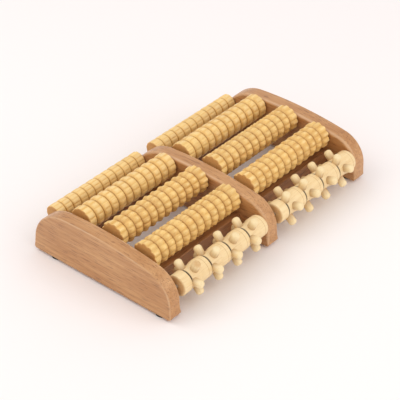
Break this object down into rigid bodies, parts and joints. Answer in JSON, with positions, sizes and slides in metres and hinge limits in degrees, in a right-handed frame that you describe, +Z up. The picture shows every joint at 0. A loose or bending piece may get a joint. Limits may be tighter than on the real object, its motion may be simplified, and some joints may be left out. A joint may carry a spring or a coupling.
{
  "type": "foot massage roller",
  "caption": "Wooden foot massage roller for both feet: upright panels carry two bays of freely turning toothed rollers, with a pegged roller along the front of each bay.",
  "frame": {"origin": "on the floor, under the middle of the whole object's box", "axes": "+X along the rollers towards the right bay, +Y towards the rear toothed row (the pegged front is -Y), +Z up"},
  "size_m": [0.29, 0.1795, 0.0585],
  "materials": {
    "panel_beech": "stained beech, satin lacquer",
    "rail_beech": "dark stained beech, satin",
    "dowel_beech": "raw beech",
    "toothed_wood": "turned and milled hardwood, waxed",
    "pegged_wood": "turned pale hardwood, satin lacquer",
    "peg_wood": "pale hardwood pegs, polished heads",
    "axle_steel": "drawn steel rod",
    "foot_rubber": "matt moulded rubber"
  },
  "bodies": {
    "frame": {"left_side_panel": "panel_beech", "middle_panel": "panel_beech", "right_side_panel": "panel_beech", "rail_dowels": "dowel_beech", "left_front_rail": "rail_beech", "left_rear_rail": "rail_beech", "left_axle_1": "axle_steel", "left_axle_2": "axle_steel", "left_axle_3": "axle_steel", "left_axle_4": "axle_steel", "left_axle_5": "axle_steel", "right_front_rail": "rail_beech", "right_rear_rail": "rail_beech", "right_axle_1": "axle_steel", "right_axle_2": "axle_steel", "right_axle_3": "axle_steel", "right_axle_4": "axle_steel", "right_axle_5": "axle_steel", "left_front_foot": "foot_rubber", "left_rear_foot": "foot_rubber", "middle_front_foot": "foot_rubber", "middle_rear_foot": "foot_rubber", "right_front_foot": "foot_rubber", "right_rear_foot": "foot_rubber"},
    "left_toothed_roller_1": {"left_toothed_roller_1": "toothed_wood"},
    "left_toothed_roller_2": {"left_toothed_roller_2": "toothed_wood"},
    "left_toothed_roller_3": {"left_toothed_roller_3": "toothed_wood"},
    "left_toothed_roller_4": {"left_toothed_roller_4": "toothed_wood"},
    "left_pegged_roller": {"left_pegged_roller": "pegged_wood", "left_pegs": "peg_wood"},
    "right_toothed_roller_1": {"right_toothed_roller_1": "toothed_wood"},
    "right_toothed_roller_2": {"right_toothed_roller_2": "toothed_wood"},
    "right_toothed_roller_3": {"right_toothed_roller_3": "toothed_wood"},
    "right_toothed_roller_4": {"right_toothed_roller_4": "toothed_wood"},
    "right_pegged_roller": {"right_pegged_roller": "pegged_wood", "right_pegs": "peg_wood"}
  },
  "joints": [
    {"name": "left_toothed_roller_1_turn", "type": "hinge", "parent": "frame", "child": "left_toothed_roller_1", "pos_m": [-0.06875, 0.08064, 0.0328], "axis": [1, 0, 0], "continuous": true},
    {"name": "left_toothed_roller_2_turn", "type": "hinge", "parent": "frame", "child": "left_toothed_roller_2", "pos_m": [-0.06875, 0.04364, 0.0434], "axis": [1, 0, 0], "continuous": true},
    {"name": "left_toothed_roller_3_turn", "type": "hinge", "parent": "frame", "child": "left_toothed_roller_3", "pos_m": [-0.06875, 0.00464, 0.0446], "axis": [1, 0, 0], "continuous": true},
    {"name": "left_toothed_roller_4_turn", "type": "hinge", "parent": "frame", "child": "left_toothed_roller_4", "pos_m": [-0.06875, -0.03386, 0.0406], "axis": [1, 0, 0], "continuous": true},
    {"name": "left_pegged_roller_turn", "type": "hinge", "parent": "frame", "child": "left_pegged_roller", "pos_m": [-0.06875, -0.07066, 0.0265], "axis": [1, 0, 0], "continuous": true},
    {"name": "right_toothed_roller_1_turn", "type": "hinge", "parent": "frame", "child": "right_toothed_roller_1", "pos_m": [0.06875, 0.08064, 0.0328], "axis": [1, 0, 0], "continuous": true},
    {"name": "right_toothed_roller_2_turn", "type": "hinge", "parent": "frame", "child": "right_toothed_roller_2", "pos_m": [0.06875, 0.04364, 0.0434], "axis": [1, 0, 0], "continuous": true},
    {"name": "right_toothed_roller_3_turn", "type": "hinge", "parent": "frame", "child": "right_toothed_roller_3", "pos_m": [0.06875, 0.00464, 0.0446], "axis": [1, 0, 0], "continuous": true},
    {"name": "right_toothed_roller_4_turn", "type": "hinge", "parent": "frame", "child": "right_toothed_roller_4", "pos_m": [0.06875, -0.03386, 0.0406], "axis": [1, 0, 0], "continuous": true},
    {"name": "right_pegged_roller_turn", "type": "hinge", "parent": "frame", "child": "right_pegged_roller", "pos_m": [0.06875, -0.07066, 0.0265], "axis": [1, 0, 0], "continuous": true}
  ]
}
